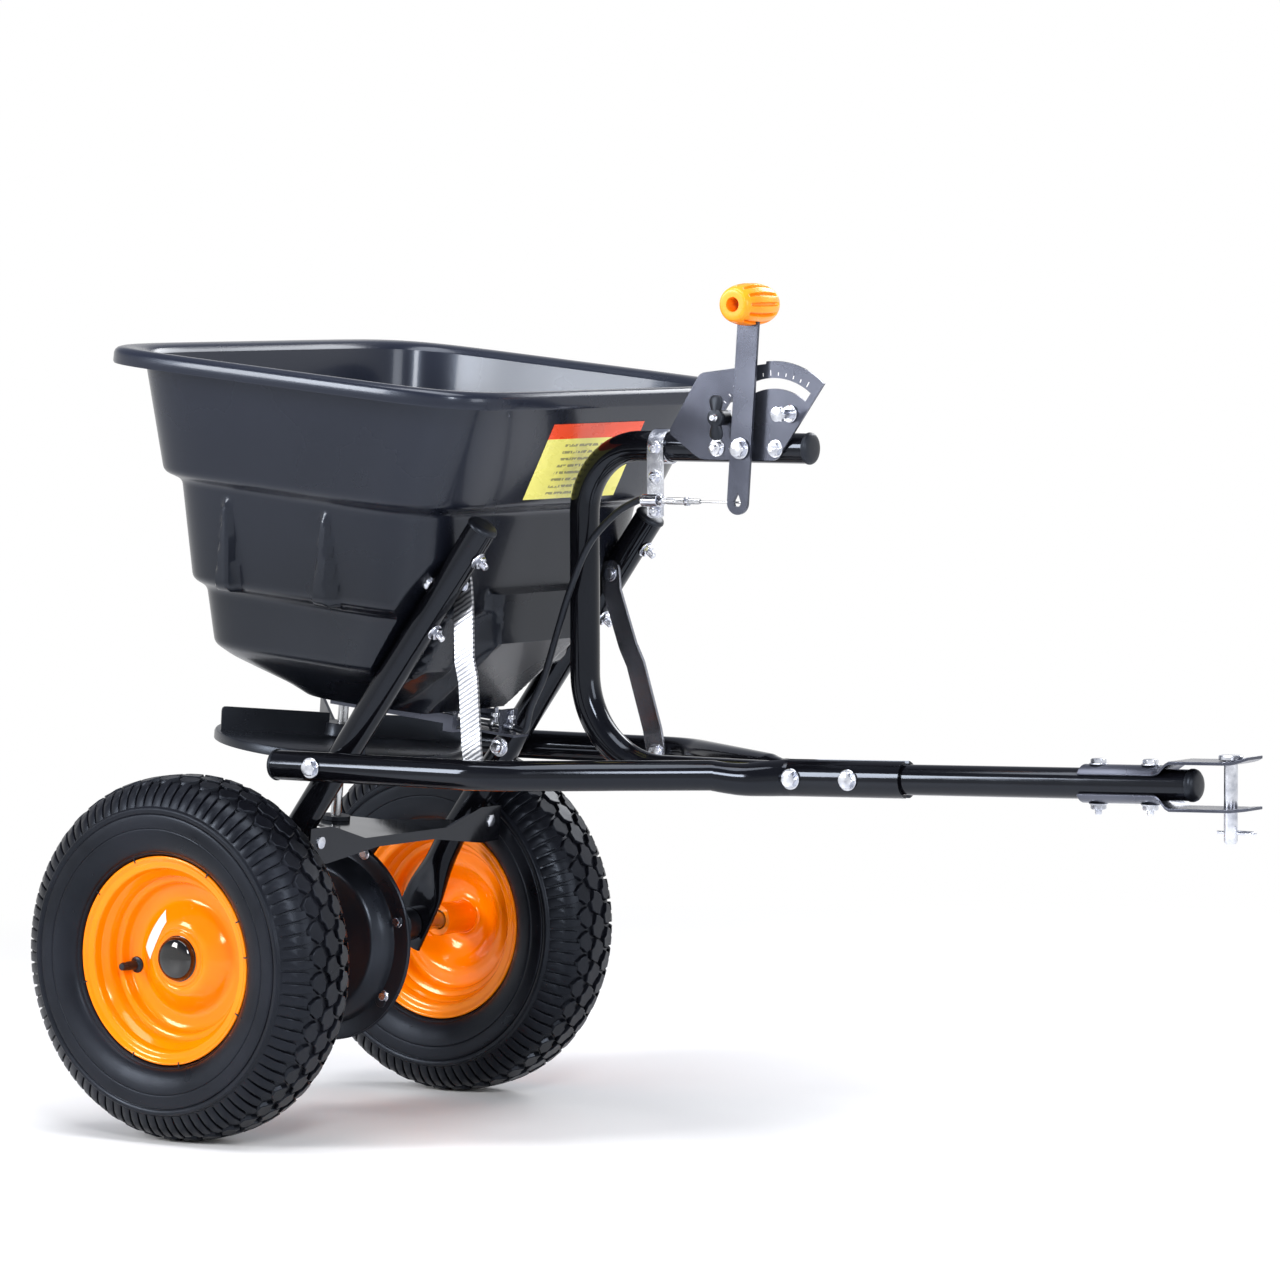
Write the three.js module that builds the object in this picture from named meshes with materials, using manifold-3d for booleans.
// Tow-behind broadcast spreader: hopper, spinner, bevel gear drive, two turf wheels, hitch frame
// and hand lever. Millimetres, +Z up, +X towards the hitch, +Y to the machine's left.
import * as THREE from 'three';
import { mergeVertices, toCreasedNormals } from 'three/addons/utils/BufferGeometryUtils.js';
import Module from 'manifold-3d';

const wasm = await Module();
wasm.setup();

// ---------------------------------------------------------------- driving dimensions
const TYRE_R = 156;            // 4.10/3.50-6 turf tyre, 312 mm across
const TRACK = 388;             // between the wheels' middle planes
const RIM_R = 88;              // flange edge of a 6 inch rim
const RIM_HALF_WIDTH = 33.5;
const AXLE_R = 8;
const TUBE_R = 12.7;           // 1 inch round tube everywhere
const TUBE_WALL = 1.6;
const GAP = 0.3;               // clearance between neighbouring pieces
const LEAN = THREE.MathUtils.degToRad(5.7);   // shaft and hopper lean forward at the top
const FRAME_Y = 123.5;         // leaning frame tubes, left and right
const HITCH_Y = 149.5;         // rear, parallel part of the hitch tubes
const HITCH_Z = 320;
const TONGUE_RISE = 0.0283;    // the tongue climbs this much per millimetre forward
const CONTROL_X = 277.7;       // upright part of the control tube
const CONTROL_Z = 591;         // level part of the control tube
const PIVOT = new THREE.Vector3(453, 0, CONTROL_Z);   // lever pivot, on the plate
const PLATE_Y = -TUBE_R - GAP;                        // back of the quadrant plate
const LEVER_Y = -24;                                  // middle plane of the lever
const HOPPER_TOP = new THREE.Vector3(117.3, 0, 657.7);
const HOPPER_WALL = 4;
const GEAR_TEETH = 40;
const PINION_TEETH = 10;
const GEAR_PITCH_R = 56;
const PINION_PITCH_R = GEAR_PITCH_R * PINION_TEETH / GEAR_TEETH;

const AXLE = new THREE.Vector3(0, 0, TYRE_R);
const X = new THREE.Vector3(1, 0, 0);
const Y = new THREE.Vector3(0, 1, 0);
const Z = new THREE.Vector3(0, 0, 1);
const LEAN_UP = new THREE.Vector3(Math.sin(LEAN), 0, Math.cos(LEAN));
const LEAN_FWD = new THREE.Vector3(Math.cos(LEAN), 0, -Math.sin(LEAN));
const v = (x, y, z) => new THREE.Vector3(x, y, z);

// ---------------------------------------------------------------- materials
const FINISH = {
  blackPlastic: [0x17181a, 0.42, 0.0],
  blackPaint: [0x0b0b0d, 0.18, 0.3],
  darkZinc: [0x6d7180, 0.32, 0.9],
  brightZinc: [0xc9ccd2, 0.3, 0.95],
  steel: [0xb4b6ba, 0.28, 1.0],
  orangePaint: [0xf26a05, 0.22, 0.1],
  orangePlastic: [0xf47b12, 0.38, 0.0],
  tyreRubber: [0x1b1c1e, 0.8, 0.0],
  softBlack: [0x0d0e10, 0.5, 0.0],
  glossBlack: [0x050506, 0.1, 0.0],
  gearNylon: [0xd9d4c4, 0.5, 0.0],
};

const group = new THREE.Group();

function add(name, geometry, finish) {
  const clean = geometry.clone();
  for (const key of Object.keys(clean.attributes)) {
    if (key !== 'position') clean.deleteAttribute(key);
  }
  const [color, roughness, metalness] = FINISH[finish];
  const material = new THREE.MeshStandardMaterial({ color, roughness, metalness });
  const mesh = new THREE.Mesh(toCreasedNormals(mergeVertices(clean, 1e-4), 0.6), material);
  mesh.name = name;
  group.add(mesh);
}

// ---------------------------------------------------------------- solids and booleans
function toManifold(geometry) {
  const g = geometry.clone();
  for (const key of Object.keys(g.attributes)) {
    if (key !== 'position') g.deleteAttribute(key);
  }
  const m = mergeVertices(g, 1e-4);
  const mesh = new wasm.Mesh({
    numProp: 3,
    vertProperties: new Float32Array(m.attributes.position.array),
    triVerts: new Uint32Array(m.index.array),
  });
  return new wasm.Manifold(mesh);
}

function fromManifold(solid) {
  const mesh = solid.getMesh();
  const g = new THREE.BufferGeometry();
  g.setAttribute('position', new THREE.BufferAttribute(new Float32Array(mesh.vertProperties), 3));
  g.setIndex(new THREE.BufferAttribute(new Uint32Array(mesh.triVerts), 1));
  return g;
}

function cut(body, ...tools) {
  let solid = toManifold(body);
  for (const tool of tools) solid = solid.subtract(toManifold(tool));
  return fromManifold(solid);
}

function join(body, ...others) {
  let solid = toManifold(body);
  for (const other of others) solid = solid.add(toManifold(other));
  return fromManifold(solid);
}

// A skin over equal-length rings of points. The ends are closed by a strip of triangles,
// or by the given triangles when the outline isn't convex.
function skin(rings, cap = stripCap(rings[0].length)) {
  const n = rings[0].length;
  const pos = [];
  const index = [];
  for (const ring of rings) for (const p of ring) pos.push(p.x, p.y, p.z);
  for (let i = 0; i + 1 < rings.length; i++) {
    for (let j = 0; j < n; j++) {
      const a = i * n + j;
      const b = i * n + (j + 1) % n;
      index.push(a, b, a + n, b, b + n, a + n);
    }
  }
  const last = (rings.length - 1) * n;
  for (const [a, b, c] of cap) {
    index.push(a, c, b);
    index.push(last + a, last + b, last + c);
  }
  const g = new THREE.BufferGeometry();
  g.setAttribute('position', new THREE.BufferAttribute(new Float32Array(pos), 3));
  g.setIndex(index);
  return facingOut(g);
}

function stripCap(n) {
  const cap = [];
  for (let i = 0; i + 1 < n - 1 - i; i++) {
    cap.push([i, i + 1, n - 1 - i]);
    if (i + 1 < n - 2 - i) cap.push([i + 1, n - 2 - i, n - 1 - i]);
  }
  return cap;
}

// Triangles of a flat outline, all turning the same way as the outline does.
function outlineCap(outline) {
  const flat = outline.map(([a, b]) => new THREE.Vector2(a, b));
  const sense = Math.sign(THREE.ShapeUtils.area(flat));
  return THREE.ShapeUtils.triangulateShape(flat.slice(), []).map(([a, b, c]) => {
    const turn = Math.sign(THREE.ShapeUtils.area([flat[a], flat[b], flat[c]]));
    return turn === sense ? [a, b, c] : [a, c, b];
  });
}

function facingOut(g) {
  const p = g.attributes.position;
  const idx = g.index.array;
  let volume = 0;
  const a = v(0, 0, 0);
  const b = v(0, 0, 0);
  const c = v(0, 0, 0);
  for (let i = 0; i < idx.length; i += 3) {
    a.fromBufferAttribute(p, idx[i]);
    b.fromBufferAttribute(p, idx[i + 1]);
    c.fromBufferAttribute(p, idx[i + 2]);
    volume += a.dot(b.cross(c));
  }
  if (volume < 0) {
    for (let i = 0; i < idx.length; i += 3) {
      const swap = idx[i];
      idx[i] = idx[i + 1];
      idx[i + 1] = swap;
    }
  }
  return g;
}

// Sweep outlines along a path. `outline(k)` gives the ring at path point k as [u, w] pairs,
// u along `side` and w along tangent x side.
function sweep(path, outline, side) {
  const rings = [];
  let u = side.clone();
  for (let k = 0; k < path.length; k++) {
    const before = path[Math.max(k - 1, 0)];
    const after = path[Math.min(k + 1, path.length - 1)];
    const t = after.clone().sub(before).normalize();
    u = u.clone().addScaledVector(t, -u.dot(t)).normalize();
    const w = t.clone().cross(u);
    rings.push(outline(k).map(([a, b]) => path[k].clone().addScaledVector(u, a).addScaledVector(w, b)));
  }
  return skin(rings);
}

function circle(r, n = 12) {
  return Array.from({ length: n }, (_, i) => {
    const t = (i + 0.5) / n * 2 * Math.PI;
    return [r * Math.cos(t), r * Math.sin(t)];
  });
}

const rect = (a, b) => [[-a, -b], [a, -b], [a, b], [-a, b]];

function rod(from, to, r, n = 12) {
  const side = Math.abs(to.clone().sub(from).normalize().dot(Z)) > 0.9 ? X : Z;
  return sweep([from, to], () => circle(r, n), side);
}

// Points along straight runs joined by arcs: corners = [[point, bend radius], ...].
function bentPath(corners, steps = 7) {
  const out = [corners[0][0].clone()];
  for (let i = 1; i + 1 < corners.length; i++) {
    const [p, r] = corners[i];
    const a = corners[i - 1][0].clone().sub(p).normalize();
    const b = corners[i + 1][0].clone().sub(p).normalize();
    const half = a.angleTo(b) / 2;
    const reach = r / Math.tan(half);
    const centre = p.clone().addScaledVector(a.clone().add(b).normalize(), r / Math.sin(half));
    const start = p.clone().addScaledVector(a, reach).sub(centre);
    const end = p.clone().addScaledVector(b, reach).sub(centre);
    const axis = start.clone().cross(end).normalize();
    const turn = start.angleTo(end);
    for (let k = 0; k <= steps; k++) {
      out.push(centre.clone().add(start.clone().applyAxisAngle(axis, turn * k / steps)));
    }
  }
  out.push(corners[corners.length - 1][0].clone());
  return out;
}

function pipe(path, r, wall, side, n = 12) {
  const outer = sweep(path, () => circle(r, n), side);
  const longer = path.map((p) => p.clone());
  const last = path.length - 1;
  longer[0].addScaledVector(path[0].clone().sub(path[1]).normalize(), 1);
  longer[last].addScaledVector(path[last].clone().sub(path[last - 1]).normalize(), 1);
  return cut(outer, sweep(longer, () => circle(r - wall, n), side));
}

// Turn a profile of [radius, along] pairs around `axis` through `origin`.
// An open profile starts and ends on the axis; a closed one joins back on itself.
function turned(profile, origin, axis, n = 48, closed = false, phase = 0) {
  const u = Math.abs(axis.dot(Z)) > 0.9 ? X.clone() : Z.clone().negate();
  u.addScaledVector(axis, -u.dot(axis)).normalize();
  const w = axis.clone().cross(u);
  const pos = [];
  const index = [];
  const starts = [];
  for (const [r, h] of profile) {
    starts.push(pos.length / 3);
    const count = r < 1e-6 ? 1 : n;
    for (let i = 0; i < count; i++) {
      const t = (i + phase) / n * 2 * Math.PI;
      const p = origin.clone().addScaledVector(axis, h)
        .addScaledVector(u, r * Math.cos(t)).addScaledVector(w, r * Math.sin(t));
      pos.push(p.x, p.y, p.z);
    }
  }
  const rows = closed ? profile.length : profile.length - 1;
  for (let k = 0; k < rows; k++) {
    const next = (k + 1) % profile.length;
    const oneA = profile[k][0] < 1e-6;
    const oneB = profile[next][0] < 1e-6;
    for (let i = 0; i < n; i++) {
      const j = (i + 1) % n;
      const a = starts[k] + (oneA ? 0 : i);
      const b = starts[k] + (oneA ? 0 : j);
      const c = starts[next] + (oneB ? 0 : i);
      const d = starts[next] + (oneB ? 0 : j);
      if (!oneA) index.push(a, c, b);
      if (!oneB) index.push(b, c, d);
    }
  }
  const g = new THREE.BufferGeometry();
  g.setAttribute('position', new THREE.BufferAttribute(new Float32Array(pos), 3));
  g.setIndex(index);
  return facingOut(g);
}

// A flat plate: outline in (a, b), from `low` to `high` along a x b.
function plate(outline, origin, a, b, low, high) {
  const n = a.clone().cross(b);
  const at = (h) => outline.map(([p, q]) => origin.clone()
    .addScaledVector(a, p).addScaledVector(b, q).addScaledVector(n, h));
  return skin([at(low), at(high)], outlineCap(outline));
}

function arcPoints(cx, cy, r, fromDeg, toDeg, steps) {
  return Array.from({ length: steps + 1 }, (_, i) => {
    const t = THREE.MathUtils.degToRad(fromDeg + (toDeg - fromDeg) * i / steps);
    return [cx + r * Math.cos(t), cy + r * Math.sin(t)];
  });
}

function mirrored(geometry) {
  const g = geometry.clone();
  g.scale(1, -1, 1);
  const idx = g.index.array;
  for (let i = 0; i < idx.length; i += 3) {
    const swap = idx[i];
    idx[i] = idx[i + 1];
    idx[i + 1] = swap;
  }
  return g;
}

// Build the right-hand (-Y) piece and its mirror image.
function addPair(stem, geometry, finish) {
  add(`${stem}_right`, geometry, finish);
  add(`${stem}_left`, mirrored(geometry), finish);
}

// ---------------------------------------------------------------- wheels
const WHEEL_Y = TRACK / 2;
const OUT = Y.clone().negate();         // outboard on the right-hand side
const wheelCentre = v(0, -WHEEL_Y, TYRE_R);

function tyreProfile() {
  const outer = [
    [77.5, 31.0], [90.5, 31.2], [103, 42.5], [118, 45], [134, 43.2], [148.2, 31], [TYRE_R, 10],
  ];
  const inner = [
    [77.5, 22], [112, 38.5], [145.5, 14],
  ];
  const other = (list) => list.map(([r, h]) => [r, -h]).reverse();
  return [...outer, ...other(outer), ...inner.map(([r, h]) => [r, -h]), ...inner.slice().reverse()];
}

const HUB_END = 13;              // outboard end of the hub barrel
function rimProfile() {
  const t = 2;
  return [
    [RIM_R + 1, RIM_HALF_WIDTH], [RIM_R + 1, RIM_HALF_WIDTH - t], [77, RIM_HALF_WIDTH - t], [66, 15],
    [66, -15], [77, t - RIM_HALF_WIDTH], [RIM_R + 1, t - RIM_HALF_WIDTH], [RIM_R + 1, -RIM_HALF_WIDTH],
    [75.5, -RIM_HALF_WIDTH], [64, -14], [64, -6], [50, -5], [27, 8.5], [15, 8.5], [15, -30],
    [AXLE_R + 0.2, -30], [AXLE_R + 0.2, HUB_END], [15, HUB_END], [28, 12.5], [50, -2], [64, 0], [75.5, RIM_HALF_WIDTH],
  ];
}

function wheelPart(profile, n, closed = true) {
  return turned(profile, wheelCentre, OUT, n, closed);
}

const VALVE_X = -57;
const VALVE_Z = TYRE_R - 10;
const tyreSolid = wheelPart(tyreProfile(), 32);
const rimSolid = cut(
  wheelPart(rimProfile(), 26),
  rod(v(VALVE_X, -WHEEL_Y - 30, VALVE_Z), v(VALVE_X, -WHEEL_Y + 12, VALVE_Z), 6.5, 10),
);
// valve stem, through a round hole in the web
const valveFoot = v(VALVE_X, -WHEEL_Y, VALVE_Z);
const valveSolid = turned([[0, -12], [4.4, -12], [4.4, 6], [3, 20], [0, 20.5]], valveFoot, OUT, 8);
const capSolid = turned([[0, HUB_END + 0.5], [19, HUB_END + 0.5], [19, 16.5], [16.5, 20], [9, 22.6], [0, 23.4]],
  wheelCentre, OUT, 16);
addPair('tyre', tyreSolid, 'tyreRubber');
addPair('rim', rimSolid, 'orangePaint');
addPair('valve', valveSolid, 'softBlack');
addPair('hub_cap', capSolid, 'glossBlack');

// ---------------------------------------------------------------- axle and bushes
const AXLE_END = WHEEL_Y + HUB_END - 0.5;
add('axle', rod(v(0, -AXLE_END, TYRE_R), v(0, AXLE_END, TYRE_R), AXLE_R, 18), 'steel');
const FOOT_THICK = 6;
const bushSolid = turned([
  [AXLE_R + 0.25, -8], [11, -8], [11, FOOT_THICK / 2 + GAP], [15, FOOT_THICK / 2 + GAP], [15, 20],
  [AXLE_R + 0.25, 20],
], v(0, -FRAME_Y, TYRE_R), Y, 18, true);
addPair('axle_bush', bushSolid, 'softBlack');

// ---------------------------------------------------------------- leaning frame tubes
// The foot is flattened around the axle bush; the tube kinks once and leans forward.
const FOOT_DIR = v(46, 0, 82).normalize();
const TUBE_DIR = v(214, 0, 286.5).normalize();
const KINK = v(46, -FRAME_Y, 238);
const FRAME_LENGTH = 357;
const frameTop = KINK.clone().addScaledVector(TUBE_DIR, FRAME_LENGTH);

function flattened(r, squash, n = 12) {
  // squash 0 is round, 1 is a flat bar of the same girth
  const halfThick = THREE.MathUtils.lerp(r, FOOT_THICK / 2, squash);
  const halfWide = THREE.MathUtils.lerp(r, 19.5, squash);
  const power = THREE.MathUtils.lerp(1, 0.45, squash);
  return circle(1, n).map(([a, b]) => [
    Math.sign(a) * Math.pow(Math.abs(a), power) * halfThick,
    Math.sign(b) * Math.pow(Math.abs(b), power) * halfWide,
  ]);
}

const footStations = [[-17, 1], [30, 1], [46, 0.6], [62, 0.2], [76, 0]];
const framePath = [
  ...footStations.map(([s]) => v(0, -FRAME_Y, TYRE_R).addScaledVector(FOOT_DIR, s)),
  ...bentPath([[v(0, -FRAME_Y, TYRE_R).addScaledVector(FOOT_DIR, 80), 0], [KINK, 60], [frameTop, 0]], 4).slice(1),
];
const frameSquash = (k) => (k < footStations.length ? footStations[k][1] : 0);
const boreStart = KINK.clone().addScaledVector(TUBE_DIR, 20);
const CROSS_X = 108;             // where the hitch tube crosses the frame tube
const crossBoltHole = rod(v(CROSS_X, -200, HITCH_Z), v(CROSS_X, -80, HITCH_Z), 4.3, 12);
const frameTube = cut(
  sweep(framePath, (k) => flattened(TUBE_R, frameSquash(k)), OUT.clone().negate()),
  rod(boreStart, frameTop.clone().addScaledVector(TUBE_DIR, 2), TUBE_R - TUBE_WALL),
  rod(v(0, -FRAME_Y - 20, TYRE_R), v(0, -FRAME_Y + 20, TYRE_R), 11 + GAP, 18),
  crossBoltHole,
);
addPair('frame_tube', frameTube, 'blackPaint');

// plastic plug with a rounded head that closes a tube end
function endPlug(end, direction) {
  const bore = (TUBE_R - TUBE_WALL) * 0.93;
  return turned([
    [0, -10], [bore, -10], [bore, GAP], [TUBE_R + 0.8, GAP], [TUBE_R + 0.8, 2.6], [TUBE_R - 2, 4.8], [0, 5],
  ], end, direction, 14);
}
addPair('frame_plug', endPlug(frameTop, TUBE_DIR), 'softBlack');

// ---------------------------------------------------------------- hitch tubes and tongue
const TONGUE_TAIL = 508;
const TONGUE_HEAD = 866;
const HUG_START = 485;           // the hitch tubes hug the tongue from here on
const tongueZ = (x) => 320.8 + TONGUE_RISE * (x - 604);
const tongueDir = v(1, 0, TONGUE_RISE).normalize();
const tonguePoint = (x, y = 0) => v(x, y, tongueZ(x));

const HUG_IN = TUBE_R + 0.8;
const HUG_OUT = TUBE_R + 3;
// Ring of a hitch tube: half the points outboard, half inboard. At hug 1 the inboard half
// is a hollow that fits around the tongue.
function hitchRing(hug, n = 14) {
  const half = n / 2;
  const spread = 78;
  const ring = [];
  for (let i = 0; i < half; i++) {
    const t = THREE.MathUtils.degToRad(-90 + 180 * (i + 0.5) / half);
    const s = THREE.MathUtils.degToRad(-spread + 2 * spread * i / (half - 1));
    const round = [TUBE_R * Math.cos(t), TUBE_R * Math.sin(t)];
    const shell = [HUG_OUT * Math.cos(s), HUG_OUT * Math.sin(s)];
    ring.push([THREE.MathUtils.lerp(round[0], shell[0], hug), THREE.MathUtils.lerp(round[1], shell[1], hug)]);
  }
  for (let i = 0; i < half; i++) {
    const t = THREE.MathUtils.degToRad(90 + 180 * (i + 0.5) / half);
    const s = THREE.MathUtils.degToRad(spread - 2 * spread * i / (half - 1));
    const round = [TUBE_R * Math.cos(t), TUBE_R * Math.sin(t)];
    const shell = [HUG_IN * Math.cos(s), HUG_IN * Math.sin(s)];
    ring.push([THREE.MathUtils.lerp(round[0], shell[0], hug), THREE.MathUtils.lerp(round[1], shell[1], hug)]);
  }
  return ring;
}

const HITCH_TAIL = 64;
const BEND_X = 284;
const HITCH_FRONT = 600;
const hitchRear = bentPath([
  [v(HITCH_TAIL, -HITCH_Y, HITCH_Z), 0], [v(BEND_X, -HITCH_Y, HITCH_Z), 90], [v(440, -41, HITCH_Z), 0],
], 5);
const hugStations = [
  [458, -27.5, 0.4], [471, -13.5, 0.8], [HUG_START - 5, -3, 0.97], [HUG_START, 0, 1], [HITCH_FRONT, 0, 1],
];
const hitchPath = [...hitchRear, ...hugStations.map(([x, y]) => v(x, y, tongueZ(x)))];
const hitchHug = (k) => (k < hitchRear.length ? 0 : hugStations[k - hitchRear.length][2]);
const pinchXs = [496, 552];
const pinchHoles = pinchXs.map((x) => rod(tonguePoint(x, -60), tonguePoint(x, 60), 4.3, 12));
const hitchBorePath = [v(HITCH_TAIL - 1, -HITCH_Y, HITCH_Z), ...hitchRear.slice(1, -1), v(425, -51.5, HITCH_Z)];
const hitchTube = cut(
  sweep(hitchPath, (k) => hitchRing(hitchHug(k)), OUT),
  sweep(hitchBorePath, () => circle(TUBE_R - TUBE_WALL, 10), OUT),
  crossBoltHole,
  ...pinchHoles,
);
addPair('hitch_tube', hitchTube, 'blackPaint');
addPair('hitch_plug', endPlug(v(HITCH_TAIL, -HITCH_Y, HITCH_Z), X.clone().negate()), 'softBlack');

const tongue = cut(
  pipe([tonguePoint(TONGUE_TAIL), tonguePoint(TONGUE_HEAD)], TUBE_R, 2.2, OUT),
  pinchHoles[1],
);
add('tongue', tongue, 'blackPaint');
const tonguePlug = turned([
  [0, -10], [9.7, -10], [9.7, GAP], [TUBE_R + 1, GAP], [TUBE_R + 1, 4], [TUBE_R - 1, 7], [0, 7.6],
], tonguePoint(TONGUE_HEAD), tongueDir, 14);
add('tongue_plug', tonguePlug, 'softBlack');

// through bolt with a hex head and a hex nut
function throughBolt(from, to, r, head) {
  const d = to.clone().sub(from).normalize();
  const side = Math.abs(d.dot(Z)) > 0.9 ? X : Z;
  const hex = (p, q) => sweep([p, q], () => circle(head, 6), side);
  return join(
    rod(from, to.clone().addScaledVector(d, 9), r, 8),
    hex(from.clone().addScaledVector(d, -5), from.clone().addScaledVector(d, 0.1)),
    hex(to.clone().addScaledVector(d, -0.1), to.clone().addScaledVector(d, 6)),
  );
}
const crossBolt = throughBolt(
  v(CROSS_X, -HITCH_Y - TUBE_R - 0.4, HITCH_Z), v(CROSS_X, -FRAME_Y + TUBE_R + 0.4, HITCH_Z), 4, 7.2,
);
addPair('cross_bolt', crossBolt, 'brightZinc');
pinchXs.forEach((x, i) => {
  const name = ['pinch_bolt_rear', 'pinch_bolt_front'][i];
  const reach = HUG_OUT + 0.6;
  add(name, throughBolt(tonguePoint(x, -reach), tonguePoint(x, reach), 4, 7.2), 'brightZinc');
});

// ---------------------------------------------------------------- hitch straps, pin and clip
const PIN_R = 5.6;
const STRAP_TAIL = 768;
const STRAP_SADDLE_END = 838;
const STRAP_TIP = 924;
const PIN_X = 902;
const STRAP_T = 2.6;
const STRAP_HALF_WIDTH = 19;
const EAR_GAP = 17.5;           // half the clear height between the two ears

const ACROSS = 6;               // facets across a strap

// One strap: a saddle over the tongue, a set, then a flat ear with a lifted tip.
function strap(sign) {
  const saddle = (grow) => {
    const arc = [];
    for (let i = 0; i <= ACROSS; i++) {
      const t = THREE.MathUtils.degToRad(-58 + 116 * i / ACROSS);
      arc.push([(TUBE_R + grow) * Math.sin(t), (TUBE_R + grow) * Math.cos(t)]);
    }
    return arc;
  };
  const ring = (flat, lift) => {
    const low = saddle(GAP);
    const high = saddle(GAP + STRAP_T);
    const pts = [];
    for (let i = 0; i <= ACROSS; i++) {
      const f = 2 * i / ACROSS - 1;
      pts.push([
        THREE.MathUtils.lerp(low[i][0], f * STRAP_HALF_WIDTH, flat),
        sign * THREE.MathUtils.lerp(low[i][1], lift, flat),
      ]);
    }
    for (let i = ACROSS; i >= 0; i--) {
      const f = 2 * i / ACROSS - 1;
      pts.push([
        THREE.MathUtils.lerp(high[i][0], f * STRAP_HALF_WIDTH, flat),
        sign * THREE.MathUtils.lerp(high[i][1], lift + STRAP_T, flat),
      ]);
    }
    return pts;
  };
  const tipLift = sign > 0 ? 5 : -1.5;
  const stations = [
    [STRAP_TAIL, 0, 0], [STRAP_SADDLE_END, 0, 0], [STRAP_SADDLE_END + 12, 0.75, EAR_GAP - 1.5],
    [STRAP_SADDLE_END + 18, 1, EAR_GAP], [PIN_X + 9, 1, EAR_GAP], [PIN_X + 16, 1, EAR_GAP + tipLift * 0.35],
    [STRAP_TIP, 1, EAR_GAP + tipLift],
  ];
  const path = stations.map(([x]) => tonguePoint(x));
  // the ring's plane stays upright, its first axis is +Y and its second is up
  const rings = stations.map(([, flat, lift], k) => ring(flat, lift)
    .map(([y, z]) => path[k].clone().add(v(0, y, z))));
  const solid = skin(rings);
  return cut(solid, rod(v(PIN_X, 0, 250), v(PIN_X, 0, 400), PIN_R + 0.6, 14));
}
add('hitch_strap_upper', strap(1), 'darkZinc');
add('hitch_strap_lower', strap(-1), 'darkZinc');

const pinZ = tongueZ(PIN_X);
const pinSeat = pinZ + EAR_GAP + STRAP_T;
const PIN_BOTTOM = 283;
const clipZ = PIN_BOTTOM + 9;
const pinSolid = cut(
  turned([[0, PIN_BOTTOM - pinSeat], [PIN_R - 1.2, PIN_BOTTOM - pinSeat], [PIN_R, PIN_BOTTOM - pinSeat + 2],
    [PIN_R, 2 * GAP], [10, 2 * GAP], [10, 4.6], [0, 4.8]], v(PIN_X, 0, pinSeat), Z, 14),
  rod(v(PIN_X - 20, 0, clipZ), v(PIN_X + 20, 0, clipZ), 1.9, 8),
);
add('hitch_pin', pinSolid, 'darkZinc');
// hairpin clip: straight leg through the pin, curved leg around its front
const clipPath = bentPath([
  [v(PIN_X - 12, 0, clipZ), 0], [v(PIN_X + 19, 0, clipZ), 3.6], [v(PIN_X + 19, 8.4, clipZ), 3.6],
  [v(PIN_X - 3, 8.4, clipZ), 0],
], 3);
add('hairpin_clip', sweep(clipPath, () => circle(1.3, 6), Z), 'brightZinc');

// ---------------------------------------------------------------- cross plate under the spinner
// A folded plate between the frame tubes that steadies the upright shaft.
const PLATE_H = 104;                // height of its top face along the leaning shaft
const leanPoint = (fwd, y, up) => AXLE.clone().addScaledVector(LEAN_FWD, fwd)
  .add(v(0, y, 0)).addScaledVector(LEAN_UP, up);
const webOutline = [
  [-18, -22], [20, -40], [52, -100], [78, -100], [78, 100], [52, 100], [20, 40], [-18, 22],
];
const web = plate(webOutline, leanPoint(0, 0, PLATE_H), LEAN_FWD, Y, -2.5, 0);
const flangeOutline = [
  [-138, 14], [-138, -17], [-112, -18], [-40, -9], [40, -9], [112, -18], [138, -17], [138, 14],
  [108, 14], [60, 0], [-60, 0], [-108, 14],
];
const flange = plate(flangeOutline, leanPoint(76, 0, PLATE_H), Y, LEAN_UP, 0, 2.5);
const shaftHole = (r, low, high) => rod(leanPoint(0, 0, low), leanPoint(0, 0, high), r, 16);
add('cross_plate', cut(join(web, flange), shaftHole(9 + GAP, PLATE_H - 20, PLATE_H + 20)), 'blackPaint');

const SHAFT_R = 4.75;
add('shaft_bush', turned([
  [SHAFT_R + 0.2, -10], [9, -10], [9, GAP], [13, GAP], [13, 4], [SHAFT_R + 0.2, 4],
], leanPoint(0, 0, PLATE_H), LEAN_UP, 16, true), 'softBlack');

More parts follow.
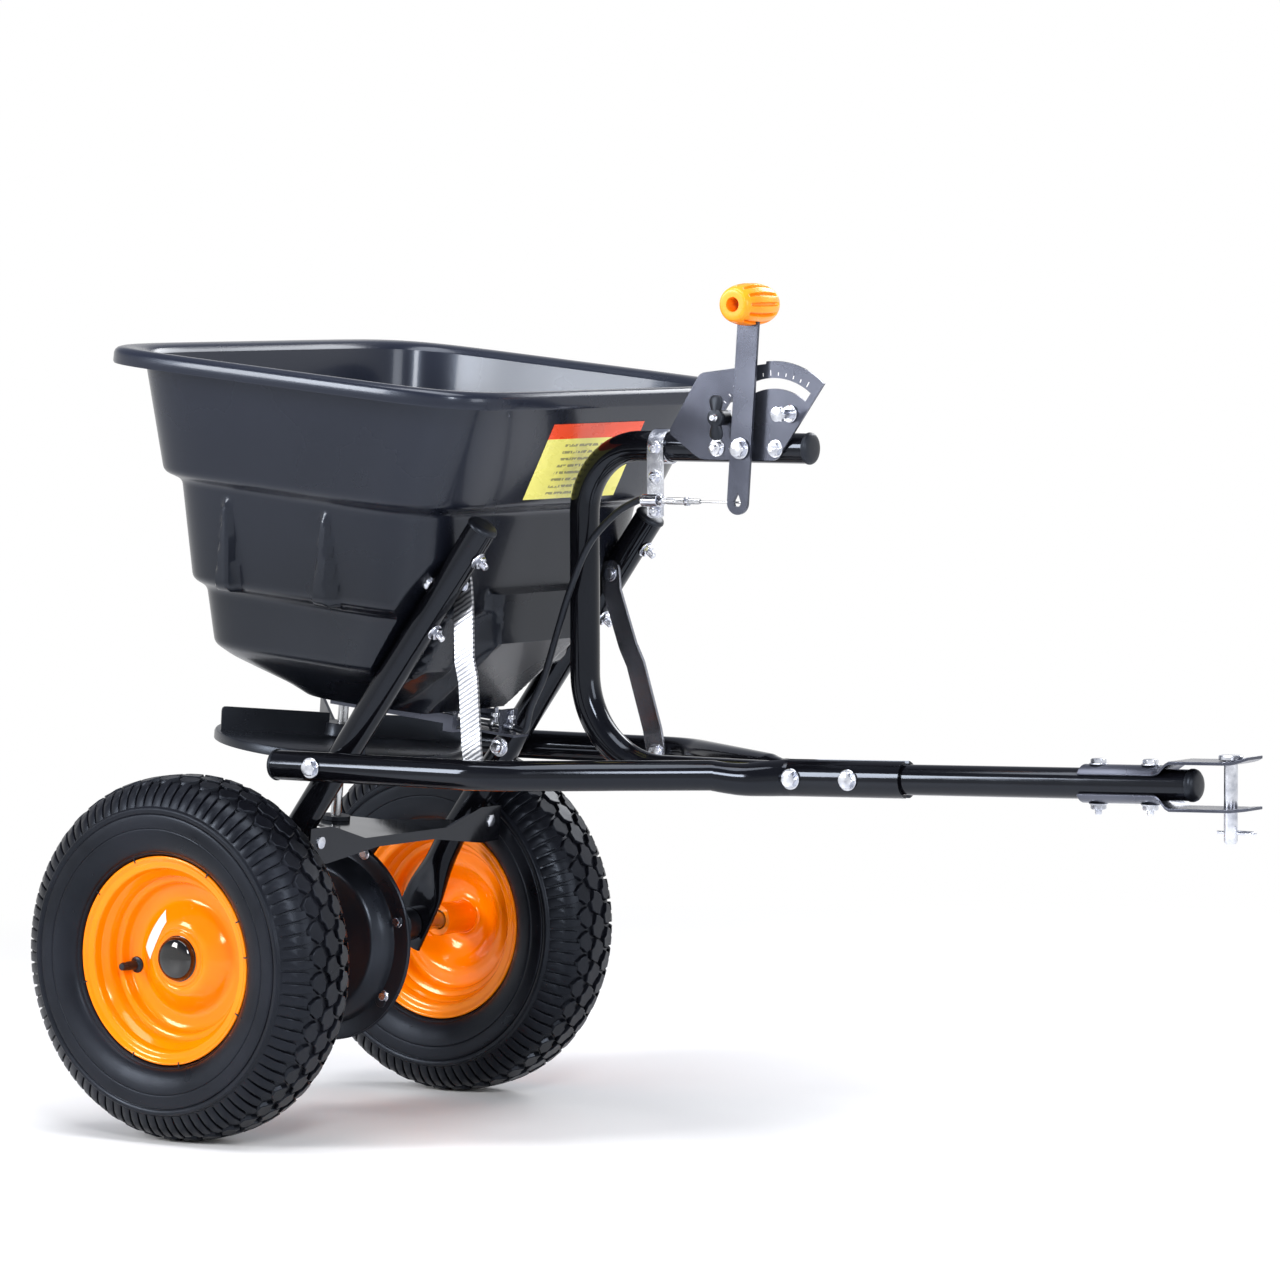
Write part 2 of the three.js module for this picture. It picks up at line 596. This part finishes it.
// ---------------------------------------------------------------- gearbox and bevel gears
const BOX_R = 90;
const NECK_R = 17;
const NECK_TOP = PLATE_H - 12;
const shellWall = 2.4;
function shellDome(grow, deep) {
  return turned([
    [0, 0], [77 + grow, 0], [75 + grow, 14], [67 + grow, 22 + grow * 0.6], [20 + grow, 30 + grow], [0, 30 + grow],
  ].map(([r, h]) => [r, h * deep]), v(0, -0.2, TYRE_R), OUT, 28);
}
function shellNeck(r, low) {
  return rod(leanPoint(0, 0, low), leanPoint(0, 0, NECK_TOP), r, 16);
}
function gearShell() {
  const ring = turned([[0, 0], [BOX_R, 0], [BOX_R, 2.6], [0, 2.6]], v(0, -0.2, TYRE_R), OUT, 36);
  const collar = plate([[-28, 60], [28, 60], [26, NECK_TOP - 2], [-26, NECK_TOP - 2]],
    v(0, -0.2, TYRE_R), LEAN_FWD, LEAN_UP, 0, 2.6);
  const boss = rod(v(0, -20, TYRE_R), v(0, -41, TYRE_R), 15, 16);
  const outside = join(shellDome(0, 1), ring, collar, shellNeck(NECK_R, 55), boss);
  // everything on the other side of the parting plane goes
  const otherHalf = plate([[-200, -200], [200, -200], [200, 200], [-200, 200]], v(0, -0.2, TYRE_R), X, Z, -120, 0);
  return cut(
    outside,
    otherHalf,
    turned([[0, -5], [74, -5], [72.5, 12.5], [65, 19.5], [0, 25]], v(0, -0.2, TYRE_R), OUT, 28),
    rod(leanPoint(0, 0, 40), leanPoint(0, 0, NECK_TOP - 12), NECK_R - shellWall, 16),
    shaftHole(SHAFT_R + 0.5, 30, 200),
    rod(v(0, 20, TYRE_R), v(0, -60, TYRE_R), AXLE_R + 0.5, 16),
  );
}
addPair('gearbox_shell', gearShell(), 'blackPlastic');

// Bevel gear as rings of points around an axis through the axle centre.
function bevelGear({ teeth, pitchR, otherR, axis, e1, tip, root, tipHalf, rootHalf, faceIn, boreR, hub, phase }) {
  const e2 = axis.clone().cross(e1);
  const cone = Math.atan2(pitchR, otherR);
  const outer = Math.hypot(pitchR, otherR);
  const inner = outer * faceIn;
  const at = (radial, axial, t) => AXLE.clone().addScaledVector(axis, axial)
    .addScaledVector(e1, radial * Math.cos(t)).addScaledVector(e2, radial * Math.sin(t));
  const onCone = (dist, rise, t) => at(
    dist * Math.sin(cone + rise / outer), dist * Math.cos(cone + rise / outer), t);
  const rows = [[], [], [], []];
  for (let k = 0; k < teeth; k++) {
    const pitch = 2 * Math.PI / teeth;
    const mid = (k + phase) * pitch;
    const marks = [[-rootHalf, -root], [-tipHalf, tip], [tipHalf, tip], [rootHalf, -root]];
    for (const [f, rise] of marks) {
      const t = mid + f * pitch;
      rows[0].push(at(boreR, hub[0], t));
      rows[1].push(onCone(outer, rise, t));
      rows[2].push(onCone(inner, rise * faceIn, t));
      rows[3].push(at(boreR, hub[1], t));
    }
  }
  const n = rows[0].length;
  const pos = [];
  const index = [];
  for (const row of rows) for (const p of row) pos.push(p.x, p.y, p.z);
  for (let r = 0; r < 4; r++) {
    for (let j = 0; j < n; j++) {
      const a = r * n + j;
      const b = r * n + (j + 1) % n;
      const c = ((r + 1) % 4) * n + j;
      const d = ((r + 1) % 4) * n + (j + 1) % n;
      index.push(a, b, c, b, d, c);
    }
  }
  const g = new THREE.BufferGeometry();
  g.setAttribute('position', new THREE.BufferAttribute(new Float32Array(pos), 3));
  g.setIndex(index);
  return facingOut(g);
}
const MODULE_OUT = 2 * GEAR_PITCH_R / GEAR_TEETH;
add('bevel_gear', bevelGear({
  teeth: GEAR_TEETH, pitchR: GEAR_PITCH_R, otherR: PINION_PITCH_R, axis: Y, e1: LEAN_UP,
  tip: 0.8 * MODULE_OUT, root: 1.1 * MODULE_OUT, tipHalf: 0.1, rootHalf: 0.3, faceIn: 0.8,
  boreR: AXLE_R + 0.25, hub: [21.5, 13], phase: 0.5,
}), 'gearNylon');
add('bevel_pinion', bevelGear({
  teeth: PINION_TEETH, pitchR: PINION_PITCH_R, otherR: GEAR_PITCH_R, axis: LEAN_UP, e1: Y,
  tip: 0.8 * MODULE_OUT, root: 1.1 * MODULE_OUT, tipHalf: 0.08, rootHalf: 0.27, faceIn: 0.8,
  boreR: SHAFT_R + 0.25, hub: [66, 43], phase: 0,
}), 'gearNylon');

// ---------------------------------------------------------------- shaft, spinner, agitator
const SHAFT_LOW = 40;
const SHAFT_HIGH = 262;
const AGITATOR_H = 240;
add('upright_shaft', cut(
  shaftHoleSolid(SHAFT_R, SHAFT_LOW, SHAFT_HIGH),
  rod(leanPoint(0, -20, AGITATOR_H), leanPoint(0, 20, AGITATOR_H), 3 + GAP, 12),
), 'steel');
function shaftHoleSolid(r, low, high) {
  return rod(leanPoint(0, 0, low), leanPoint(0, 0, high), r, 16);
}
const agitatorPath = bentPath([
  [leanPoint(0, -34, AGITATOR_H + 16), 0], [leanPoint(0, -22, AGITATOR_H), 6], [leanPoint(0, 22, AGITATOR_H), 6],
  [leanPoint(0, 34, AGITATOR_H + 16), 0],
], 3);
add('agitator', sweep(agitatorPath, () => circle(3, 8), LEAN_UP), 'brightZinc');

const SPINNER_R = 111;
const SPINNER_H = 178;              // top face of the disc along the shaft
const VANE_TURN = 47.5;             // turns the vane cross about the shaft, degrees
const VANE_H = 21;
function spinner() {
  const disc = turned([
    [SHAFT_R + 0.25, -14], [13, -14], [14, -3], [104, -3], [SPINNER_R - 2.4, -5], [SPINNER_R - 2.4, -9],
    [SPINNER_R, -9], [SPINNER_R, -2], [SPINNER_R - 3, 0], [18, 0], [15, 12], [SHAFT_R + 0.25, 12],
  ], leanPoint(0, 0, SPINNER_H), LEAN_UP, 32, true);
  const vanes = [0, 1, 2, 3].map((k) => {
    const t = THREE.MathUtils.degToRad(VANE_TURN + 90 * k);
    const along = LEAN_FWD.clone().multiplyScalar(Math.cos(t)).addScaledVector(Y, Math.sin(t));
    const nearHub = k % 2 === 0 ? VANE_H - 1 : 3;
    const outline = [[12, -1], [107, -1], [107.5, VANE_H - 3], [104, VANE_H], [16, nearHub], [12, nearHub]];
    return plate(outline, leanPoint(0, 0, SPINNER_H), along, LEAN_UP, -1.3, 1.3);
  });
  return cut(join(disc, ...vanes), shaftHole(SHAFT_R + 0.25, SPINNER_H - 30, SPINNER_H + 30));
}
add('spinner', spinner(), 'blackPlastic');

// ---------------------------------------------------------------- hopper
// Rounded-square rings, each [depth below the rim, forward shift, half length, half width, squareness].
const hopperPoint = (fwd, y, depth) => HOPPER_TOP.clone().addScaledVector(LEAN_FWD, fwd)
  .add(v(0, y, 0)).addScaledVector(LEAN_UP, -depth);
const SHAFT_FWD = AXLE.clone().sub(HOPPER_TOP).dot(LEAN_FWD);
function roundedRing([depth, shift, a, b, power], grow = 0, n = 36) {
  return Array.from({ length: n }, (_, i) => {
    const t = (i + 0.5) / n * 2 * Math.PI;
    const c = Math.cos(t);
    const s = Math.sin(t);
    // spread the points evenly by blending angle and outline
    const cc = Math.sign(c) * Math.pow(Math.abs(c), 2 / power);
    const ss = Math.sign(s) * Math.pow(Math.abs(s), 2 / power);
    return hopperPoint(shift + (a + grow) * cc, (b + grow) * ss, depth);
  });
}
const bodyRings = [
  [6, 0, 184, 208, 6.6], [104, -11, 156, 189, 6.2], [110, -11.6, 143, 177, 6], [195, -10.2, 133, 164, 6],
  [201, -11, 125, 153, 5.6], [250, -18, 113, 144, 5], [260, -20, 101, 130, 4.6], [282, -14, 79, 88, 3],
  [292, -12, 74, 70, 2.6],
];
const BASE_DEPTH = 292;
const rimRings = [
  [6, 0, 201, 225, 6.8], [14.5, 0, 201, 225, 6.8], [14.5, 0, 204, 228, 6.8], [2.5, 0, 204, 228, 6.8],
  [0, 0, 200, 224, 6.8],
];
const outerRows = [...bodyRings.slice().reverse(), ...rimRings];
const innerRows = [
  [-2, 0, 181, 205, 6.6], [6, 0, 180, 204, 6.6], ...bodyRings.slice(1, -1).map(([d, s, a, b, p]) => [
    d - HOPPER_WALL * 0.4, s, a - HOPPER_WALL, b - HOPPER_WALL, p]), [BASE_DEPTH - HOPPER_WALL, -12, 69, 66, 2.6],
].reverse();
const hopperShell = (rows) => skin(rows.map((row) => roundedRing(row)));
// two tapering ribs on each side of the middle band, hollow inside like the wall
const ribs = [];
for (const side of [-1, 1]) {
  for (const fwd of [-75, 30]) {
    ribs.push(skin([
      [199, 15, 9], [120, 4, 3],
    ].map(([depth, half, out]) => [[-half, -1], [half, -1], [half * 0.45, 1], [-half * 0.45, 1]].map(([a, o]) => {
      const wallY = THREE.MathUtils.lerp(177, 164, (depth - 111) / 88);
      return hopperPoint(fwd + a, side * (wallY - 2.5 + (o > 0 ? out : 0)), depth);
    }))));
  }
}
const OUTLET = { fwd: -20, halfLong: 14, halfWide: 24 };
const outletHole = plate(
  rect(OUTLET.halfLong, OUTLET.halfWide), hopperPoint(OUTLET.fwd, 0, BASE_DEPTH), LEAN_FWD, Y, -20, 20);
// Each lower front corner is cut back along a slope that lies on the frame tube.
const NOTCH_Y = 105;
const TUBE_NORMAL = v(TUBE_DIR.z, 0, -TUBE_DIR.x);
function cornerNotch(side, wall) {
  const onSlope = (s) => KINK.clone().addScaledVector(TUBE_DIR, s)
    .addScaledVector(TUBE_NORMAL, -(TUBE_R + GAP + wall));
  const ceiling = 108 - wall;
  const low = onSlope(60);
  const at = (p) => [p.x, p.z];
  const toCeiling = (LEAN_UP.dot(hopperPoint(0, 0, ceiling)) - LEAN_UP.dot(low)) / LEAN_UP.dot(TUBE_DIR);
  const high = low.clone().addScaledVector(TUBE_DIR, toCeiling);
  const outline = [at(low), [low.x + 260, low.z], at(high.clone().addScaledVector(LEAN_FWD, 160)), at(high)];
  const near = NOTCH_Y - wall;
  return side < 0
    ? plate(outline, v(0, -near, 0), X, Z, 0, 200)
    : plate(outline, v(0, near, 0), X, Z, -200, 0);
}
// A narrow bulge carries the front wall down to the base between the corners.
function frontBulge(wall) {
  return plate([
    [20, BASE_DEPTH - wall], [64 - wall, BASE_DEPTH - wall], [136 - wall, 222 - wall * 0.5],
    [136 - wall, 180], [20, 180],
  ], hopperPoint(0, wall - 62, 0), LEAN_FWD, LEAN_UP.clone().negate(), 0, 2 * (62 - wall));
}
const hopperOutside = cut(
  join(hopperShell(outerRows), ...ribs, frontBulge(0)), cornerNotch(-1, 0), cornerNotch(1, 0));
const hopperInside = cut(
  join(hopperShell(innerRows), frontBulge(HOPPER_WALL)),
  cornerNotch(-1, HOPPER_WALL), cornerNotch(1, HOPPER_WALL));
const hopper = cut(hopperOutside, hopperInside, shaftHole(SHAFT_R + 1.5, 180, 240), outletHole);
add('hopper', hopper, 'blackPlastic');

// ---------------------------------------------------------------- slide gate and its guide
const GATE_GAP = 0.4;
const gateTop = BASE_DEPTH + GATE_GAP + GAP;
const gatePoint = (fwd, y, depth) => hopperPoint(fwd, y, depth);
const GATE_HALF_WIDTH = 31;
const GATE_TAB = 50;
const CABLE_DEPTH = BASE_DEPTH + 8;
const GATE_REAR = -10;
const gatePlate = plate([
  [GATE_REAR, -GATE_HALF_WIDTH], [34, -GATE_HALF_WIDTH], [34, -9], [GATE_TAB, -9], [GATE_TAB, 9], [34, 9],
  [34, GATE_HALF_WIDTH], [GATE_REAR, GATE_HALF_WIDTH],
], gatePoint(0, 0, gateTop + 2), LEAN_FWD, Y, 0, 2);
const gateTab = plate([[-9, 0.6], [9, 0.6], [9, 11], [-9, 11]], gatePoint(GATE_TAB, 0, gateTop), Y,
  LEAN_UP.clone().negate(), 0, 2);
add('gate', join(gatePlate, gateTab), 'brightZinc');

// two rails under the base and a front bar that carries the cable stop
function gateGuide() {
  const base = BASE_DEPTH + GAP;
  const bar = base + 12.5;
  const parts = [];
  for (const side of [-1, 1]) {
    const railY = side * (GATE_HALF_WIDTH + GAP + 3);
    const lipY = side * (GATE_HALF_WIDTH + GAP);
    parts.push(plate(rect(66, 3), gatePoint(12, railY, base), LEAN_FWD, Y, -6, 0));
    parts.push(plate(rect(66, 6), gatePoint(12, lipY, base + 6), LEAN_FWD, Y, -2, 0.8));
    parts.push(plate(rect(5, 3), gatePoint(73, railY, bar), LEAN_FWD, Y, -1, 8));
  }
  const tongueHalf = 11;
  const barHalf = GATE_HALF_WIDTH + GAP + 6;
  parts.push(plate([
    [68, -barHalf], [78, -barHalf], [80, -tongueHalf], [124, -tongueHalf], [124, tongueHalf], [80, tongueHalf],
    [78, barHalf], [68, barHalf],
  ], gatePoint(0, 0, bar), LEAN_FWD, Y, -2.2, 0));
  parts.push(plate([[-tongueHalf, -1], [tongueHalf, -1], [tongueHalf, 20], [-tongueHalf, 20]],
    gatePoint(108, 0, bar), Y, LEAN_UP, 0, 3));
  return cut(
    join(parts[0], ...parts.slice(1)),
    rod(gatePoint(90, 0, CABLE_DEPTH), gatePoint(130, 0, CABLE_DEPTH), 3.4, 12),
  );
}
const guide = gateGuide();
add('gate_guide', guide, 'darkZinc');

// ---------------------------------------------------------------- control tube
const controlPath = bentPath([
  [v(504, 0, 318), 0], [v(CONTROL_X, 0, 318), 80], [v(CONTROL_X, 0, CONTROL_Z), 58], [v(504, 0, CONTROL_Z), 0],
], 6);
add('control_tube', cut(pipe(controlPath, TUBE_R, TUBE_WALL, Y), pinchHoles[0]), 'blackPaint');
add('control_plug', endPlug(v(504, 0, CONTROL_Z), X), 'softBlack');

// ---------------------------------------------------------------- quadrant plate
// Outline in plate coordinates: forward and up from the lever pivot.
const SLOT_CENTRE = [27, 0];
const SLOT_R = 54;
const SLOT_HALF = 4.4;
const SLOT_FROM = 52;            // degrees from +X, front end
const SLOT_TO = 157;             // rear end, where the stop knob stands
const EDGE_R = 72.5;
const plateAt = v(PIVOT.x, PLATE_Y, PIVOT.z);
const quadOutline = [
  [-47, -10], [29, -10], [76, 54],
  ...arcPoints(SLOT_CENTRE[0], SLOT_CENTRE[1], EDGE_R, 49, 96, 8),
  [19, 70], [-47, 62], [-79, 12],
];
const quadBlank = plate(quadOutline, plateAt, X, Z, 0, 2.5);
const slotOutline = [
  ...arcPoints(SLOT_CENTRE[0], SLOT_CENTRE[1], SLOT_R + SLOT_HALF, SLOT_FROM, SLOT_TO, 16),
  ...arcPoints(SLOT_CENTRE[0], SLOT_CENTRE[1], SLOT_R - SLOT_HALF, SLOT_TO, SLOT_FROM, 16),
];
const slotCut = plate(slotOutline, plateAt, X, Z, -5, 10);
const boltHole = (x, z, r) => rod(v(PIVOT.x + x, PLATE_Y + 6, PIVOT.z + z), v(PIVOT.x + x, PLATE_Y - 12, PIVOT.z + z), r, 16);
add('quadrant_plate', cut(quadBlank, slotCut, boltHole(0, 0, 4.3), boltHole(43, 29, 4.3)), 'darkZinc');

// ---------------------------------------------------------------- lever, grip, stops
const LEVER_LEAN = THREE.MathUtils.degToRad(4.2);
const leverUp = v(Math.sin(LEVER_LEAN), 0, Math.cos(LEVER_LEAN));
const leverFwd = v(Math.cos(LEVER_LEAN), 0, -Math.sin(LEVER_LEAN));
const leverAt = v(PIVOT.x, LEVER_Y, PIVOT.z);
const LEVER_HALF = 10.3;
const LEVER_FOOT = 45;           // pivot down to the wire hole
const leverOutline = [
  ...arcPoints(0, -LEVER_FOOT, LEVER_HALF, 180, 360, 8), [LEVER_HALF, 112], [6, 118], [-6, 118], [-LEVER_HALF, 112],
];
const leverBar = cut(
  plate(leverOutline, leverAt, leverFwd, leverUp, -1.5, 1.5),
  rod(v(PIVOT.x, LEVER_Y - 10, PIVOT.z), v(PIVOT.x, LEVER_Y + 10, PIVOT.z), 5.4, 16),
  plate([...arcPoints(0, -LEVER_FOOT, 3.6, 160, 380, 8), [0, -LEVER_FOOT + 8.5]], leverAt, leverFwd, leverUp, -6, 6),
);
add('lever', leverBar, 'darkZinc');

// shoulder bolt: head outboard, shoulder through the lever, shank through plate and tube
const pivotBolt = join(
  rod(v(PIVOT.x, LEVER_Y - 2.2, PIVOT.z), v(PIVOT.x, PLATE_Y - 2.5 - GAP, PIVOT.z), 5.1, 16),
  rod(v(PIVOT.x, LEVER_Y, PIVOT.z), v(PIVOT.x, PLATE_Y + 0.2, PIVOT.z), 4, 16),
  rod(v(PIVOT.x, LEVER_Y - 2.2, PIVOT.z), v(PIVOT.x, LEVER_Y - 4, PIVOT.z), 9, 20),
  sweep([v(PIVOT.x, LEVER_Y - 3.9, PIVOT.z), v(PIVOT.x, LEVER_Y - 9, PIVOT.z)], () => circle(7.2, 6), Z),
);
add('pivot_bolt', pivotBolt, 'brightZinc');

const GRIP_UP = 119.5;
const gripAt = leverAt.clone().addScaledVector(leverUp, GRIP_UP);
function gripBarrel() {
  const barrel = turned([
    [6.2, -26], [12.5, -26], [14.2, -24.5], [17.6, -10], [18, 0], [17.6, 10], [14.2, 24.5], [12.5, 26], [6.2, 26],
  ], gripAt, Y, 20, true);
  const grooves = [];
  for (let k = 0; k < 8; k++) {
    const t = (k + 0.5) / 8 * 2 * Math.PI;
    const c = gripAt.clone().add(v(17.8 * Math.cos(t), 0, 17.8 * Math.sin(t)));
    grooves.push(rod(c.clone().add(v(0, -17, 0)), c.clone().add(v(0, 17, 0)), 1.7, 6));
  }
  const slot = plate([[-10.7, -30], [10.7, -30], [10.7, -1.1], [-10.7, -1.1]], gripAt, leverFwd, leverUp, -1.8, 1.8);
  return cut(barrel, ...grooves, slot);
}
add('lever_grip', gripBarrel(), 'orangePlastic');

// adjustable stop: a bolt through the slot and a wing knob on it
const stopAngle = THREE.MathUtils.degToRad(SLOT_TO - 5);
const stopAt = v(
  PIVOT.x + SLOT_CENTRE[0] + SLOT_R * Math.cos(stopAngle), PLATE_Y, PIVOT.z + SLOT_CENTRE[1] + SLOT_R * Math.sin(stopAngle));
const onStop = (out) => stopAt.clone().add(v(0, -out, 0));
add('stop_bolt', join(
  rod(onStop(-1.2), onStop(24), 3, 12),
  sweep([onStop(-5), onStop(-0.5)], () => rect(3.6, 6.2), Z),
), 'brightZinc');
function wingKnob() {
  const hub = turned([[3.15, 2.9], [6.4, 2.9], [6.4, 13], [8, 15], [7.8, 19.5], [3.15, 20.5]],
    stopAt, OUT, 12, true);
  const wing = (sign) => plate([
    [-4.5, 5], [4.5, 5], [7, 13], [6, 17.5], [0, 19], [-6, 17.5], [-7, 13],
  ].map(([a, b]) => [a, sign * b]), onStop(14), X, Z, 0, 6.5);
  return cut(join(hub, wing(1), wing(-1)), rod(onStop(-5), onStop(30), 3.15, 16));
}
add('wing_knob', wingKnob(), 'softBlack');

// fixed stud that ends the lever's forward stroke
add('front_stop', join(
  rod(v(PIVOT.x + 43, PLATE_Y + 0.5, PIVOT.z + 29), v(PIVOT.x + 43, PLATE_Y - 22, PIVOT.z + 29), 4, 16),
  rod(v(PIVOT.x + 43, PLATE_Y - 2.8, PIVOT.z + 29), v(PIVOT.x + 43, PLATE_Y - 5, PIVOT.z + 29), 7.4, 20),
  sweep([v(PIVOT.x + 43, PLATE_Y - 19, PIVOT.z + 29), v(PIVOT.x + 43, PLATE_Y - 24, PIVOT.z + 29)], () => circle(7, 6), Z),
), 'brightZinc');

// ---------------------------------------------------------------- cable, clip and ferrules
const WIRE_Y = LEVER_Y + 3.2;
const WIRE_Z = PIVOT.z - LEVER_FOOT;
const CLIP_X = 360;
const SHEATH_R = 3;
const WIRE_HANG = CONTROL_Z - WIRE_Z;
function cableClip() {
  const ringOut = rod(v(CLIP_X - 8, 0, CONTROL_Z), v(CLIP_X + 8, 0, CONTROL_Z), TUBE_R + 2.2, 18);
  const hanger = plate([[-8, -WIRE_HANG], [8, -WIRE_HANG], [8, 0], [-8, 0]],
    v(CLIP_X, -TUBE_R - GAP, CONTROL_Z), X, Z, 0, 2.2);
  const lobe = rod(v(CLIP_X - 8, WIRE_Y, WIRE_Z), v(CLIP_X + 8, WIRE_Y, WIRE_Z), 5.4, 16);
  const foot = plate(rect(8, 5.4), v(CLIP_X, -TUBE_R - GAP, WIRE_Z), X, Z, 0.1, 8);
  return cut(
    join(ringOut, hanger, lobe, foot),
    rod(v(CLIP_X - 20, 0, CONTROL_Z), v(CLIP_X + 20, 0, CONTROL_Z), TUBE_R + GAP, 18),
    rod(v(CLIP_X - 20, WIRE_Y, WIRE_Z), v(CLIP_X + 20, WIRE_Y, WIRE_Z), SHEATH_R + 0.5, 12),
  );
}
add('cable_clip', cableClip(), 'brightZinc');

const FERRULE_TAIL = CLIP_X + 8.4;
const FERRULE_HEAD = CLIP_X + 50;
const tubeX = (x0, x1, r, bore) => cut(
  rod(v(x0, WIRE_Y, WIRE_Z), v(x1, WIRE_Y, WIRE_Z), r, 16), rod(v(x0 - 1, WIRE_Y, WIRE_Z), v(x1 + 1, WIRE_Y, WIRE_Z), bore, 12));
add('cable_ferrule', tubeX(FERRULE_TAIL, FERRULE_HEAD, 3, 1.4), 'steel');

const gateEnd = 116;             // front end of the ferrule at the gate, along the hopper's base
const alongGate = (fwd) => gatePoint(fwd, 0, CABLE_DEPTH);
const sheathRoute = new THREE.CatmullRomCurve3([
  v(FERRULE_TAIL - 0.4, WIRE_Y, WIRE_Z), v(CLIP_X, WIRE_Y, WIRE_Z), v(CLIP_X - 8, WIRE_Y, WIRE_Z),
  v(CLIP_X - 14, WIRE_Y, WIRE_Z - 0.6),
  v(324, -21, 534), v(296, -19.5, 508), v(276, -18.5, 470), v(258, -14, 430), v(241, -8, 394), v(223, -3, 366),
  alongGate(gateEnd + 12), alongGate(gateEnd + 0.8),
], false, 'catmullrom', 0.5);
add('cable_sheath', sweep(sheathRoute.getPoints(44), () => circle(SHEATH_R, 8), Y), 'softBlack');
add('gate_ferrule', cut(
  rod(alongGate(gateEnd), alongGate(gateEnd - 40), 2.8, 12),
  rod(alongGate(gateEnd + 6), alongGate(gateEnd - 50), 1.4, 8),
), 'steel');

// bare wire at each end, free to slide inside its ferrule
add('lever_wire', rod(v(FERRULE_HEAD - 15.5, WIRE_Y, WIRE_Z), v(PIVOT.x + 1, WIRE_Y, WIRE_Z), 0.9, 8), 'steel');
add('gate_wire', rod(alongGate(GATE_TAB + 0.2), alongGate(gateEnd - 14), 0.9, 8), 'steel');

// ---------------------------------------------------------------- flat side braces
const bracePath = [
  [228, 108.8, 487], [230, 109, 462], [239, 120.5, 413], [245, 123.5, 397], [255.5, 133.5, 340], [260, 134.3, 314],
].map(([x, y, z]) => v(x, -y, z));
addPair('brace', sweep(bracePath, () => rect(9.8, 1.4), X), 'brightZinc');

// ---------------------------------------------------------------- centre on the ground
const bounds = new THREE.Box3().setFromObject(group);
const centre = bounds.getCenter(v(0, 0, 0));
for (const mesh of group.children) mesh.geometry.translate(-centre.x, -centre.y, -bounds.min.z);

export default group;
